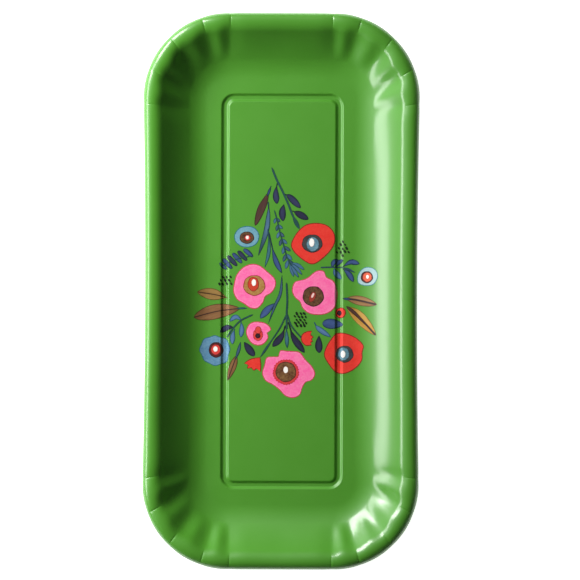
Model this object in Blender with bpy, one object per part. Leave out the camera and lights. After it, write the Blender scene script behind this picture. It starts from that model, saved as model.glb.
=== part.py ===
"""Oblong serving tray with pleated corners and a folk bouquet painted on its floor.

The tray is one moulded wall. Each island of paint is a thin film of its own, which lies on the tray's face.
Metres, +Z up. The origin is on the surface that the tray stands on, under its centre, and +Y runs along it.
"""

import math

import bmesh
import bpy
from mathutils import Vector
from mathutils.bvhtree import BVHTree
from mathutils.geometry import delaunay_2d_cdt

MM = 0.001

# Tray, in plan
TRAY_LENGTH = 355 * MM
TRAY_WIDTH = 175.5 * MM
CORNER_RADIUS = 54.5 * MM
WAIST_BOW = 1.35 * MM  # each long side bows in this far at its middle

# Side, in section, from the lip's edge inwards: four arcs that run into each other
WALL = 2.5 * MM
LIP_WIDTH = 4.5 * MM
LIP_RADIUS = 5 * MM
RIM_RADIUS = 10 * MM
STEEPEST = math.radians(46)
SIDE_RADIUS = 62.5 * MM
KNEE_SLOPE = math.radians(27.5)
FOOT_RADIUS = 28 * MM

# Pleats of a corner: valleys that fan out from one point, with a lobe between each two
PLEAT_VALLEYS = [math.radians(angle) for angle in (10.5, 32, 53.5, 73, 90)]
PLEAT_SET_IN = 1 * MM  # the fan's point lies this far inside the corner's centre, across the tray
PLEAT_SET_BACK = 11.5 * MM  # and this far back from it, along the tray
PLEAT_HEIGHT = 1.4 * MM
PLEAT_REACH = 29 * MM  # from the lip's edge to where the lobes have died out

# Groove around the centre panel. Its underside is the foot that the tray stands on
GROOVE_BESIDE = 7.778 * MM  # floor between the side's foot and the groove, along the tray's sides
GROOVE_BEYOND = 10.028 * MM  # and at its ends
GROOVE_CORNER = 8 * MM
GROOVE_SIDE = 1.8 * MM
GROOVE_FLOOR = 2.7 * MM
GROOVE_DEPTH = 1.3 * MM

# Paint
FILM = 0.12 * MM
FILM_GAP = 0.2 * MM

# Steps of the curves
SECTION_STEPS = (3, 4, 3, 4)
SIDE_STEPS = 5
LOBE_STEPS = 5
END_STEPS = 3
CORNER_STEPS = 4
LEAST_FLAT = 0.01 * MM
PETAL_STEPS = 26
EYE_STEPS = 14
LEAF_STEPS = 5
STEM_STEPS = 4

COLOURS = {
    "green": (0.095, 0.310, 0.038),
    "red": (0.75, 0.035, 0.025),
    "pink": (0.87, 0.13, 0.33),
    "sky": (0.15, 0.40, 0.55),
    "blue": (0.045, 0.12, 0.28),
    "navy": (0.02, 0.03, 0.10),
    "brown": (0.13, 0.06, 0.02),
    "ochre": (0.42, 0.22, 0.03),
    "umber": (0.09, 0.03, 0.02),
    "grey": (0.05, 0.07, 0.09),
}

FLOOR_TOP = GROOVE_DEPTH + WALL
HALF_WIDTH = TRAY_WIDTH / 2
HALF_LENGTH = TRAY_LENGTH / 2
CORNER_CENTRE = Vector((HALF_WIDTH - CORNER_RADIUS, HALF_LENGTH - CORNER_RADIUS))
FAN_POINT = CORNER_CENTRE - Vector((PLEAT_SET_IN, PLEAT_SET_BACK))


def material(colour, roughness):
    name = f"{colour}_{'melamine' if colour == 'green' else 'paint'}"
    made = bpy.data.materials.get(name) or bpy.data.materials.new(name)
    made.use_nodes = True
    shader = made.node_tree.nodes["Principled BSDF"]
    shader.inputs["Base Color"].default_value = (*COLOURS[colour], 1)
    shader.inputs["Roughness"].default_value = roughness
    shader.inputs["Metallic"].default_value = 0
    return made


def add_object(name, bm, colour, roughness=0.35):
    bmesh.ops.recalc_face_normals(bm, faces=bm.faces)
    mesh = bpy.data.meshes.new(name)
    bm.to_mesh(mesh)
    bm.free()
    mesh.shade_smooth()
    mesh.set_sharp_from_angle(angle=math.radians(30))
    mesh.materials.append(material(colour, roughness))
    made = bpy.data.objects.new(name, mesh)
    bpy.context.collection.objects.link(made)
    return made


# ---- the tray ----


def side_section():
    """Points of the inner face from the lip's edge to the floor: (inset from the edge, height, slope)."""
    lip_slope = -math.asin(min(LIP_WIDTH / LIP_RADIUS, 1))
    lip_flat = LIP_WIDTH + LIP_RADIUS * math.sin(lip_slope)  # what the arc leaves of a wide lip
    slopes = (lip_slope, 0, STEEPEST, KNEE_SLOPE, 0)
    radii = (LIP_RADIUS, RIM_RADIUS, -SIDE_RADIUS, -FOOT_RADIUS)
    inset = 0
    drop = 0
    points = [(inset, drop, lip_slope)]
    for radius, start, end, steps in zip(radii, slopes, slopes[1:], SECTION_STEPS):
        for step in range(1, steps + 1):
            slope = start + (end - start) * step / steps
            points.append((
                inset + radius * (math.sin(slope) - math.sin(start)),
                drop + radius * (math.cos(start) - math.cos(slope)),
                slope,
            ))
        inset, drop, _ = points[-1]
        if radius == LIP_RADIUS and lip_flat > LEAST_FLAT:
            inset += lip_flat
            points.append((inset, drop, 0))
    return [(at, FLOOR_TOP + drop - down, slope) for at, down, slope in points]


FOOT_INSET = side_section()[-1][0]
GROOVE_WIDTH = 2 * (HALF_WIDTH - FOOT_INSET - GROOVE_BESIDE)
GROOVE_LENGTH = 2 * (HALF_LENGTH - FOOT_INSET - GROOVE_BEYOND)


def waist(y):
    return WAIST_BOW * max(0, 1 - (y / CORNER_CENTRE.y) ** 2)


def corner_point(inset, angle):
    """Where a line from the fan's point meets the outline, moved in by inset."""
    across, along = math.cos(angle), math.sin(angle)
    side_x = HALF_WIDTH - inset
    end_y = HALF_LENGTH - inset
    side_y = FAN_POINT.y + (side_x - FAN_POINT.x) * along / max(across, 1e-9)
    if side_y <= CORNER_CENTRE.y:
        return Vector((side_x - waist(side_y), side_y))
    end_x = FAN_POINT.x + (end_y - FAN_POINT.y) * across / max(along, 1e-9)
    if end_x <= CORNER_CENTRE.x:
        return Vector((end_x, end_y))
    ray = Vector((across, along))
    back = (FAN_POINT - CORNER_CENTRE).dot(ray)
    rest = (FAN_POINT - CORNER_CENTRE).length_squared - (CORNER_RADIUS - inset) ** 2
    return FAN_POINT + ray * (math.sqrt(max(back * back - rest, 0)) - back)


def quarter_stations():
    """One quarter of the way round: functions of the inset, each with its share of a lobe's height."""
    stations = []
    for step in range(SIDE_STEPS):
        y = FAN_POINT.y * step / SIDE_STEPS
        stations.append((lambda inset, y=y: Vector((HALF_WIDTH - inset - waist(y), y)), 0))
    angles = [(0, 0), (PLEAT_VALLEYS[0] / 2, 0)]
    for valley, following in zip(PLEAT_VALLEYS, PLEAT_VALLEYS[1:]):
        for step in range(LOBE_STEPS):
            share = step / LOBE_STEPS
            angles.append((valley + (following - valley) * share, 4 * share * (1 - share)))
    for angle, lobe in angles:
        stations.append((lambda inset, angle=angle: corner_point(inset, angle), lobe))
    for step in range(END_STEPS):
        x = FAN_POINT.x * (1 - step / END_STEPS)
        stations.append((lambda inset, x=x: Vector((x, HALF_LENGTH - inset)), 0))
    stations.append((lambda inset: Vector((0, HALF_LENGTH - inset)), 0))
    return stations


def pleat_lift(inset, lobe):
    if inset >= PLEAT_REACH:
        return 0
    return PLEAT_HEIGHT * lobe * math.sin(math.pi * inset / PLEAT_REACH)


def full_ring(inset, height, slope, below):
    """One closed ring of the side, on its inner face or, one wall below, on its outer face."""
    quarter = []
    for place, lobe in quarter_stations():
        out = pleat_lift(inset, lobe) - below
        at = place(inset + out * math.sin(slope))
        quarter.append(Vector((at.x, at.y, height + out * math.cos(slope))))
    half = quarter + [Vector((-p.x, p.y, p.z)) for p in reversed(quarter[:-1])]
    return half + [Vector((-p.x, -p.y, p.z)) for p in half[1:-1]]


def rounded_rectangle(width, length, radius, height):
    points = []
    for turn in range(4):
        x_side = 1 if turn in (0, 3) else -1
        y_side = 1 if turn in (0, 1) else -1
        centre = Vector((x_side * (width / 2 - radius), y_side * (length / 2 - radius)))
        for step in range(CORNER_STEPS + 1):
            angle = math.pi / 2 * (turn + step / CORNER_STEPS)
            points.append(Vector((
                centre.x + radius * math.cos(angle), centre.y + radius * math.sin(angle), height
            )))
    return points


def add_skin(bm, rings):
    """Strips between rings that follow each other. Gives back the first and the last ring's points."""
    rows = [[bm.verts.new(point) for point in ring] for ring in rings]
    for row, following in zip(rows, rows[1:]):
        for index, vert in enumerate(row):
            bm.faces.new((row[index - 1], vert, following[index], following[index - 1]))
    return rows[0], rows[-1]


def fill_between(bm, outer, inner):
    """Flat triangles from one closed row of points to another that lies inside it."""
    verts = outer + inner
    flat = [vert.co.xy / MM for vert in verts]
    faces = [list(range(len(outer))), list(range(len(outer), len(verts)))]
    _, _, cells, came_from, _, cell_sources = delaunay_2d_cdt(flat, [], faces, 0, 1e-5)
    for cell, sources in zip(cells, cell_sources):
        if sources == [0]:
            bm.faces.new([verts[came_from[index][0]] for index in cell])


def groove_rings(below):
    """The groove's four rings from its outer edge inwards, on the floor or one wall below it."""
    mitre = below * math.tan(math.atan2(GROOVE_DEPTH, GROOVE_SIDE) / 2)
    insets = (-mitre, GROOVE_SIDE - mitre)
    insets += (GROOVE_SIDE + GROOVE_FLOOR + mitre, 2 * GROOVE_SIDE + GROOVE_FLOOR + mitre)
    depths = (0, GROOVE_DEPTH, GROOVE_DEPTH, 0)
    return [
        rounded_rectangle(
            GROOVE_WIDTH - 2 * inset,
            GROOVE_LENGTH - 2 * inset,
            max(GROOVE_CORNER - inset, 0.3 * MM),
            FLOOR_TOP - below - depth,
        )
        for inset, depth in zip(insets, depths)
    ]


def tray_body():
    bm = bmesh.new()
    section = side_section()
    outer_rings = [full_ring(*point, WALL) for point in reversed(section)]
    inner_rings = [full_ring(*point, 0) for point in section]
    foot_below, foot_above = add_skin(bm, outer_rings + inner_rings)
    for foot, below in ((foot_above, 0), (foot_below, WALL)):
        groove_edge, panel_edge = add_skin(bm, groove_rings(below))
        fill_between(bm, foot, groove_edge)
        bm.faces.new(panel_edge)
    return add_object("tray_body", bm, "green", 0.3)


# ---- the paint: outlines in the plane of the floor ----


def blob(centre, size, lobes=(), steps=PETAL_STEPS):
    """A closed outline: an ellipse with waves on it, each (waves, height, turned to degrees)."""
    points = []
    for step in range(steps):
        angle = math.tau * step / steps
        reach = 1 + sum(
            height * math.cos(waves * (angle - math.radians(turned)))
            for waves, height, turned in lobes
        )
        points.append(Vector((
            centre[0] * MM + size[0] * MM / 2 * reach * math.cos(angle),
            centre[1] * MM + size[1] * MM / 2 * reach * math.sin(angle),
        )))
    return points


def leaf(base, tip, width, fullest=0.5, bend=0):
    """A pointed leaf from base to tip. bend moves its middle to the left, in mm."""
    base, tip = Vector(base) * MM, Vector(tip) * MM
    along = tip - base
    left = Vector((-along.y, along.x)).normalized()
    sides = ([], [])
    for step in range(1, LEAF_STEPS + 1):
        share = step / (LEAF_STEPS + 1)
        skewed = share ** (math.log(0.5) / math.log(fullest))
        middle = base + along * share + left * bend * MM * 4 * share * (1 - share)
        for side, sign in zip(sides, (-1, 1)):
            side.append(middle + left * sign * width * MM / 2 * math.sin(math.pi * skewed) ** 0.8)
    return [base, *sides[0], tip, *reversed(sides[1])]


def on_curve(start, toward, arrive, end, share):
    """The point at a share of the way along a curve with four control points."""
    rest = 1 - share
    weights = (rest ** 3, 3 * rest ** 2 * share, 3 * rest * share ** 2, share ** 3)
    return sum(
        (Vector(point) * weight for point, weight in zip((start, toward, arrive, end), weights)),
        Vector((0, 0)),
    )


def stem(start, toward, arrive, end, width, end_width):
    """A ribbon along a curve, which starts half its width early so that it runs into what it grows from."""
    middle = [
        on_curve(start, toward, arrive, end, step / STEM_STEPS) * MM
        for step in range(STEM_STEPS + 1)
    ]
    middle[0] -= (middle[1] - middle[0]).normalized() * width * MM / 2
    sides = ([], [])
    for step, point in enumerate(middle):
        run = middle[min(step + 1, STEM_STEPS)] - middle[max(step - 1, 0)]
        left = Vector((-run.y, run.x)).normalized()
        half = (width + (end_width - width) * step / STEM_STEPS) * MM / 2
        sides[0].append(point - left * half)
        sides[1].append(point + left * half)
    return [*sides[0], *reversed(sides[1])]


def fold_lines():
    """Lines along the tray where its face folds, so that a film across one can fold with it."""
    groove_insets = (0, GROOVE_SIDE, GROOVE_SIDE + GROOVE_FLOOR, 2 * GROOVE_SIDE + GROOVE_FLOOR)
    reach = FAN_POINT.y
    steps = 2 * SIDE_STEPS
    places = [reach * (2 * step / steps - 1) for step in range(steps + 1)]
    lines = []
    for side in (-1, 1):
        for inset in groove_insets:
            x = side * (GROOVE_WIDTH / 2 - inset)
            lines.append([Vector((x, y)) for y in (-GROOVE_LENGTH / 2, GROOVE_LENGTH / 2)])
        for inset, _, _ in side_section()[sum(SECTION_STEPS[:2]):]:
            lines.append([Vector((side * (HALF_WIDTH - inset - waist(y)), y)) for y in places])
    return lines


def add_film(name, colour, outlines, tray_face, coat=0):
    """Joins the outlines into one film, folds it along the tray's folds and lays it on the tray's face."""
    points, edges, faces = [], [], []
    for outline in outlines:
        faces.append(list(range(len(points), len(points) + len(outline))))
        points += outline
    low = Vector((min(p.x for p in points), min(p.y for p in points)))
    high = Vector((max(p.x for p in points), max(p.y for p in points)))
    for line in fold_lines():
        for start, end in zip(line, line[1:]):
            beside = max(start.x, end.x) < low.x or min(start.x, end.x) > high.x
            if beside or end.y < low.y or start.y > high.y:
                continue
            edges.append((len(points), len(points) + 1))
            points += [start, end]
    in_mm = [point / MM for point in points]
    flat, _, cells, _, _, cell_sources = delaunay_2d_cdt(in_mm, edges, faces, 0, 1e-5)
    kept = [cell for cell, sources in zip(cells, cell_sources) if sources]
    bm = bmesh.new()
    verts = {}
    for index in sorted({index for cell in kept for index in cell}):
        at = flat[index] * MM
        face_z = tray_face.ray_cast(Vector((at.x, at.y, 1)), Vector((0, 0, -1)))[0].z
        lift = FILM_GAP + coat * (FILM + FILM_GAP)
        verts[index] = bm.verts.new((at.x, at.y, face_z + lift))
    for cell in kept:
        bm.faces.new([verts[index] for index in cell])
    upper = bmesh.ops.extrude_face_region(bm, geom=bm.faces[:])["geom"]
    raised = [item for item in upper if isinstance(item, bmesh.types.BMVert)]
    bmesh.ops.translate(bm, verts=raised, vec=(0, 0, FILM))
    return add_object(name, bm, colour)


# Flowers: centre, size, waves of the petals' outline, eye centre, eye size, and their colours. In mm
FLOWERS = {
    "red_flower_upper": ((20.5, 31), (28, 26.5), [(3, 0.03, 20), (4, 0.04, 5), (5, 0.015, 0)],
                         (19.7, 30.5), (13, 11.5), "red", "grey"),
    "red_flower_lower": ((40.5, -39.5), (26, 26.5), [(3, 0.02, 80), (4, 0.04, 50), (6, 0.02, 10)],
                         (40.6, -39), (11.5, 10.5), "red", "grey"),
    "red_flower_small": ((38, -13.8), (6.2, 6.2), [(5, 0.03, 0)],
                         (38, -13.8), (2.8, 2.8), "red", "umber"),
    "pink_flower_left": ((-17.3, 3), (27, 28.5), [(3, 0.05, 90), (5, 0.03, 20)],
                         (-17.2, 3.8), (13.6, 13), "pink", "ochre"),
    "pink_flower_right": ((21, -1), (28, 28), [(3, 0.06, 80), (5, 0.04, 15)],
                          (20.5, -3.3), (13.6, 12.6), "pink", "umber"),
    "pink_flower_bottom": ((4.8, -52.8), (32.5, 29.5), [(3, 0.05, 115), (5, 0.05, 40)],
                           (3.4, -51.6), (16.2, 16), "pink", "brown"),
    "pink_flower_small": ((-14.5, -27), (15.5, 15), [(4, 0.05, 30), (6, 0.03, 0)],
                          (-14.9, -27.7), (6.4, 8), "pink", "red"),
    "blue_flower_upper": ((-22, 34.8), (15.6, 13.6), [(5, 0.02, 0)],
                          (-22.2, 34.4), (9.2, 7.2), "sky", "umber"),
    "blue_flower_right": ((55.1, 9.4), (13.2, 12.6), [(4, 0.03, 60), (5, 0.02, 0)],
                          (54.6, 9.2), (7.8, 7.8), "sky", "red"),
    "blue_flower_lower": ((-42.7, -38), (18.6, 18.2), [(5, 0.04, 80), (7, 0.03, 0)],
                          (-41.7, -37.7), (9, 9), "sky", "red"),
}

# Single leaves: base, tip, width, where it is fullest, bend, and colour. In mm
LEAVES = {
    "brown_leaf_top": ((-7, 66.5), (-17.2, 42.5), 4.2, 0.6, -0.6, "brown"),
    "brown_leaf_left": ((-23.5, -11.3), (-55.7, -16), 8.6, 0.62, -1.2, "brown"),
    "tan_leaf_left": ((-34, -4.4), (-53.5, 0.2), 6.4, 0.58, -0.8, "ochre"),
    "thin_brown_leaf": ((-26, -33), (-33.8, -57), 4.4, 0.62, 0.8, "brown"),
    "olive_leaf_right": ((40, -4.4), (61, -8.4), 5.6, 0.62, 0.8, "ochre"),
    "ochre_leaf_right": ((42.4, -10), (60.7, -27.6), 7.2, 0.55, 1, "ochre"),
    "navy_leaf_right": ((39.2, -20.8), (26.8, -20.6), 6.2, 0.5, -0.4, "navy"),
    "navy_leaf_low_right": ((24.4, -28.2), (24.4, -39.2), 4.6, 0.55, 0, "navy"),
    "navy_leaf_low_left": ((-23.6, -32.8), (-17, -41.2), 4.8, 0.6, -0.6, "navy"),
    "blue_leaf_right": ((21.4, -20.2), (30.6, -28.6), 3.6, 0.55, -0.6, "blue"),
}

# Sprigs: stems (four control points, width, end width), and leaves (which stem, the share of its
# length where the leaf grows, tip, width, where it is fullest, bend). In mm
SPRIGS = {
    "top_sprig": ("navy", [
        ((-6.3, 79.4), (-3.5, 72), (0, 66), (2.6, 60), 0.9, 0.9),
        ((2.6, 60), (5, 54), (6.5, 48), (10.2, 41.8), 0.9, 1.2),
    ], [
        (0, 0.52, (-3.4, 56.2), 3.8, 0.62, 0.6),
        (0, 0.9, (12.5, 53.6), 4.4, 0.6, 1.6),
        (1, 0.05, (0.8, 45.2), 4.2, 0.6, 0.4),
        (1, 0.35, (17.2, 46.4), 4.4, 0.6, 1.2),
        (1, 0.6, (10.6, 41), 2.6, 0.55, 0),
    ]),
    "left_stem_sprig": ("blue", [
        ((-8.6, 55), (-8.4, 48), (-8, 42), (-7.4, 34), 0.7, 0.8),
    ], [
        (0, 0.25, (-14.3, 22.8), 3.6, 0.4, 1.4),
        (0, 0.8, (-10.2, 15.6), 2.6, 0.55, 0.4),
        (0, 0.9, (0.3, 11.8), 3.4, 0.6, 0.8),
    ]),
    "feather_sprig": ("blue", [
        ((-4.5, 51.8), (-2.6, 44), (-1, 38), (1.2, 30.5), 0.6, 0.8),
        ((1.2, 30.5), (3, 24), (4, 19), (8.4, 13.8), 0.8, 0.8),
    ], [
        (0, 0.25, (-0.8, 40.6), 2.6, 0.5, 0),
        (0, 0.45, (-3.8, 37), 2.2, 0.5, 0),
        (0, 0.7, (2.4, 32.6), 2.4, 0.5, 0),
        (0, 0.92, (-0.6, 26.4), 2.4, 0.5, 0),
        (1, 0.25, (7, 20.8), 2.8, 0.5, 0),
        (1, 0.45, (2.8, 16.6), 2.4, 0.5, 0),
        (1, 0.8, (13.8, 12.6), 2.8, 0.5, 0.4),
        (1, 0.8, (7.6, 9.2), 2.8, 0.5, 0),
    ]),
    "fern_sprig": ("navy", [
        ((-18.2, 23.2), (-25, 21.6), (-32, 18.8), (-38.6, 16.8), 0.6, 0.6),
    ], [
        (0, 0.08, (-22.8, 27), 2.4, 0.5, 0),
        (0, 0.28, (-27, 26), 2.4, 0.5, 0),
        (0, 0.48, (-31.4, 24.4), 2.4, 0.5, 0),
        (0, 0.2, (-26.4, 18.2), 2.4, 0.5, 0),
        (0, 0.42, (-31, 16.2), 2.4, 0.5, 0),
        (0, 0.66, (-36.2, 13.6), 2.6, 0.5, 0),
    ]),
    "right_blue_sprig": ("blue", [
        ((25.2, 15.4), (29, 15.2), (33, 15.6), (38.6, 15.6), 0.6, 0.6),
    ], [
        (0, 0.55, (38, 20.8), 4.6, 0.55, 0.6),
        (0, 0.9, (49.6, 18.4), 3.2, 0.6, 0.6),
        (0, 0.9, (46.4, 7.4), 3, 0.6, 0.6),
        (0, 0.55, (39, 8.4), 4.4, 0.6, -0.6),
    ]),
    "left_blue_sprig": ("blue", [
        ((-18.2, -15.2), (-23, -17), (-26, -19.4), (-31.4, -25), 0.6, 0.6),
    ], [
        (0, 0.5, (-33, -18.6), 3.2, 0.5, -0.8),
        (0, 0.52, (-25.6, -28.6), 3, 0.6, 0.4),
        (0, 0.95, (-39.4, -25.6), 3.4, 0.5, 0.4),
        (0, 0.95, (-31.6, -33), 3.2, 0.55, 0),
    ]),
    "centre_sprig": ("navy", [
        ((3.4, 5.4), (3.4, -2), (4, -8), (3.8, -15), 0.6, 0.7),
        ((3.8, -15), (3.8, -20), (3.8, -24), (3.8, -28), 0.8, 0.8),
        ((3.8, -14), (2.4, -22), (-8, -29), (-12.9, -41.4), 0.7, 0.6),
        ((3.8, -14), (4.4, -22), (8, -26), (12, -28.8), 0.7, 0.7),
    ], [
        (1, 0.4, (-5, -35.6), 3.8, 0.62, -0.4),
        (1, 0.5, (3.8, -36.2), 2.4, 0.55, 0),
        (3, 0.55, (14.8, -38.6), 4, 0.62, 0.6),
    ]),
    "curved_sprig": ("blue", [
        ((0.5, 10), (0.8, 0), (-2.5, -10), (-8, -20.8), 0.8, 0.6),
    ], [
        (0, 0.15, (-3.4, -10.6), 2.4, 0.55, 0.9),
        (0, 0.5, (-13, -17), 4.6, 0.62, -0.6),
    ]),
}

# Buds: the cup's middle, the way it opens in degrees, its length and width. In mm
BUDS = {
    "red_bud_right": ((17.2, -29.8), 0, 8, 9),
    "red_bud_left": ((-18, -46.4), 222, 10.6, 9.4),
}


def bud_outlines(centre, opens, length, width):
    """A cup with three petals that spread from it."""
    way = math.radians(opens)
    middle = Vector(centre)
    ahead = Vector((math.cos(way), math.sin(way)))
    aside = Vector((-ahead.y, ahead.x))
    root = middle - ahead * length / 2
    petals = []
    for lean in (-1, 0, 1):
        tip = middle + ahead * length / 2 + aside * lean * width * 0.42
        petals.append(leaf(root, tip, width * 0.42, 0.6, lean * -1.2))
    return petals


def remove_all():
    for old in list(bpy.data.objects):
        bpy.data.objects.remove(old)


def build():
    remove_all()
    tray = tray_body()
    face = BVHTree.FromPolygons(
        [v.co for v in tray.data.vertices], [p.vertices[:] for p in tray.data.polygons]
    )
    for name, (centre, size, lobes, eye_centre, eye_size, petals, eye) in FLOWERS.items():
        add_film(name, petals, [blob(centre, size, lobes)], face)
        add_film(f"{name}_eye", eye, [blob(eye_centre, eye_size, steps=EYE_STEPS)], face, coat=1)
    for name, (base, tip, width, fullest, bend, colour) in LEAVES.items():
        add_film(name, colour, [leaf(base, tip, width, fullest, bend)], face)
    for name, (colour, stems, leaves) in SPRIGS.items():
        outlines = [stem(*values) for values in stems]
        for grows_on, share, *shape in leaves:
            outlines.append(leaf(on_curve(*stems[grows_on][:4], share), *shape))
        add_film(name, colour, outlines, face)
    for name, values in BUDS.items():
        add_film(name, "red", bud_outlines(*values), face)


build()
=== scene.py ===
import math
import random

import bmesh
import bpy
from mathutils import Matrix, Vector


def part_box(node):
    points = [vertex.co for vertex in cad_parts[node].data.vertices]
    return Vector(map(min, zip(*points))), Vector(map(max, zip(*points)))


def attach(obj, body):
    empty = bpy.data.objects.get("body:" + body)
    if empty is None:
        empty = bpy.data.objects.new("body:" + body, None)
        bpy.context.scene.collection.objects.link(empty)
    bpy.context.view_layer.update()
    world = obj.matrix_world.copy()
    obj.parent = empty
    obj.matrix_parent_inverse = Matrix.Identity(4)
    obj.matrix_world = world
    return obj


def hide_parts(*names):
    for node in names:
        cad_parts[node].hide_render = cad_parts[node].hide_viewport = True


# Looks of a moulded tray with pleated corners and a folk bouquet painted on its floor.
# Outlines are in millimetres, with X across the tray and Y along it.

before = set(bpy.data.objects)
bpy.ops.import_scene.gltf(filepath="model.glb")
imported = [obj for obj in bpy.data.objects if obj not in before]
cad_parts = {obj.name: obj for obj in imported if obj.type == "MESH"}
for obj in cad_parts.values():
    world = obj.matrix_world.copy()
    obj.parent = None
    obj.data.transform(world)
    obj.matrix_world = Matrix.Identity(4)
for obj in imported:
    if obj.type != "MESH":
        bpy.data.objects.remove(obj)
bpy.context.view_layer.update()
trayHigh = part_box("tray_body")[1]
mm = 0.001

tray = {
    "wall": 2.5,
    "cornerRadius": 54.5,
    "waistBow": 1.35,
    "lipRadius": 5, "lipTurn": 64.16,
    "rimRadius": 10, "steepest": 46,
    "sideRadius": 62.5, "kneeSlope": 27.5,
    "footRadius": 28,
    "floorTop": 3.8,
    "arcSteps": (6, 9, 16, 13), "lipSteps": 8,
    "footMargin": 1,  # flat floor between the foot of the side and the filled middle
    "rimOut": 0.3, "endsIn": 0.2,
}
tray["halfWidth"] = trayHigh.x / mm + tray["rimOut"]
tray["halfLength"] = trayHigh.y / mm - tray["endsIn"]
cornerCentre = Vector((
    tray["halfWidth"] - tray["cornerRadius"], tray["halfLength"] - tray["cornerRadius"]
))

pleats = {
    "valleys": (8.5, 30.5, 52.5, 73.5, 90),  # degrees, fanning out from one point
    "setIn": 1, "setBack": 11.5,  # where that point lies from the corner's centre
    "height": 1.4, "reach": 29,
    "scallop": 0.2, "scallopFrom": 3, "scallopReach": 8, "hollowWidth": 3,
    "sharpTo": 5, "softFrom": 12,  # creases are sharp by the lip and soft further in
    "creaseDepth": 0.16, "creaseWidth": 0.35, "creaseReach": 10, "creaseStart": (0.5, 3.5),
    "shoulder": 0.5, "shoulderRise": 5, "shoulderFall": 26,  # the straight side's own swelling
}
fanPoint = cornerCentre - Vector((pleats["setIn"], pleats["setBack"]))

groove = {
    "halfWidth": 36.6, "halfLength": 124.2,  # to the middle of the groove
    "shift": 0.5,  # the groove isn't quite in the middle of the tray
    "corner": 6,
    "side": 1.9, "floorHalf": 0.9, "depth": 1.3,
    "margin": 0.6, "underSpread": 0.3,  # flat rim beside it, and its extra width underneath
    "steps": 14, "cornerSteps": 12,
}
grooveEdge = groove["floorHalf"] + groove["side"]
grooveOffsets = [
    grooveEdge * step / groove["steps"] for step in range(-groove["steps"], groove["steps"] + 1)
]

# How finely a quarter of the outline is divided. The gaps lie close to a crease,
# in degrees on the fan and in millimetres on the end.
stationSteps = {"side": 24, "lobe": 12, "end": 9, "gaps": (0.25, 0.6, 1.2)}

random.seed(7)


def smoothStep(low, high, value):
    share = min(1, max(0, (value - low) / (high - low)))
    return share * share * (3 - 2 * share)


# Side of the tray, in section.

def sectionArcs():
    slopes = [math.radians(angle) for angle in (
        -tray["lipTurn"], 0, tray["steepest"], tray["kneeSlope"], 0
    )]
    radii = (tray["lipRadius"], tray["rimRadius"], -tray["sideRadius"], -tray["footRadius"])
    arcs, inset, drop = [], 0, 0
    for radius, start, end in zip(radii, slopes, slopes[1:]):
        arcs.append((inset, drop, radius, start, end))
        inset += radius * (math.sin(end) - math.sin(start))
        drop += radius * (math.cos(start) - math.cos(end))
    return arcs, inset, drop


sideArcs, footInset, sideDrop = sectionArcs()


# Points of the inner face from the lip to the floor: inset, height, slope.
def sideSection():
    points = []
    for (inset, drop, radius, start, end), steps in zip(sideArcs, tray["arcSteps"]):
        for step in range(steps + (radius == -tray["footRadius"])):
            slope = start + (end - start) * step / steps
            points.append((
                inset + radius * (math.sin(slope) - math.sin(start)),
                tray["floorTop"] + sideDrop - drop
                - radius * (math.cos(start) - math.cos(slope)),
                slope,
            ))
    return points


def waist(y):
    return tray["waistBow"] * max(0, 1 - (y / cornerCentre.y) ** 2)


def cornerPoint(inset, angle):
    across, along = math.cos(angle), math.sin(angle)
    sideX = tray["halfWidth"] - inset
    endY = tray["halfLength"] - inset
    sideY = fanPoint.y + (sideX - fanPoint.x) * along / max(across, 1e-9)
    if sideY <= cornerCentre.y:
        return Vector((sideX - waist(sideY), sideY))
    endX = fanPoint.x + (endY - fanPoint.y) * across / max(along, 1e-9)
    if endX <= cornerCentre.x:
        return Vector((endX, endY))
    ray = Vector((across, along))
    back = (fanPoint - cornerCentre).dot(ray)
    rest = (fanPoint - cornerCentre).length_squared - (tray["cornerRadius"] - inset) ** 2
    return fanPoint + ray * (math.sqrt(max(back * back - rest, 0)) - back)


# Places along a quarter of the outline: kind, value, share of a lobe, angle to a crease.
def quarterStations():
    sideSteps, lobeSteps, endSteps = (stationSteps[part] for part in ("side", "lobe", "end"))
    gaps = stationSteps["gaps"]
    stations = [("side", fanPoint.y * step / sideSteps, 0, None) for step in range(sideSteps)]
    valleys = [math.radians(angle) for angle in pleats["valleys"]]
    fine = [math.radians(angle) for angle in gaps]
    stations += [("fan", valleys[0] * share, 0, None) for share in (0, 0.3, 0.6)]
    stations += [("fan", valleys[0] - gap, 0, None) for gap in reversed(fine)]
    for valley, following in zip(valleys, valleys[1:]):
        width = following - valley
        inner = [valley + width * step / lobeSteps for step in range(1, lobeSteps)]
        angles = [valley, *(valley + gap for gap in fine), *inner,
                  *(following - gap for gap in reversed(fine))]
        for angle in sorted(angles):
            share = (angle - valley) / width
            stations.append((
                "fan", angle, 4 * share * (1 - share), min(angle - valley, following - angle)
            ))
    stations += [("end", fanPoint.x - gap, 0, None) for gap in (0, *gaps)]
    stations += [("end", (fanPoint.x - gaps[-1]) * (1 - step / endSteps), 0, None)
                 for step in range(1, endSteps + 1)]
    return stations


def stationPoint(station, inset):
    kind, value, _, _ = station
    if kind == "side":
        return Vector((tray["halfWidth"] - inset - waist(value), value))
    if kind == "end":
        return Vector((value, tray["halfLength"] - inset))
    return cornerPoint(inset, value)


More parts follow.
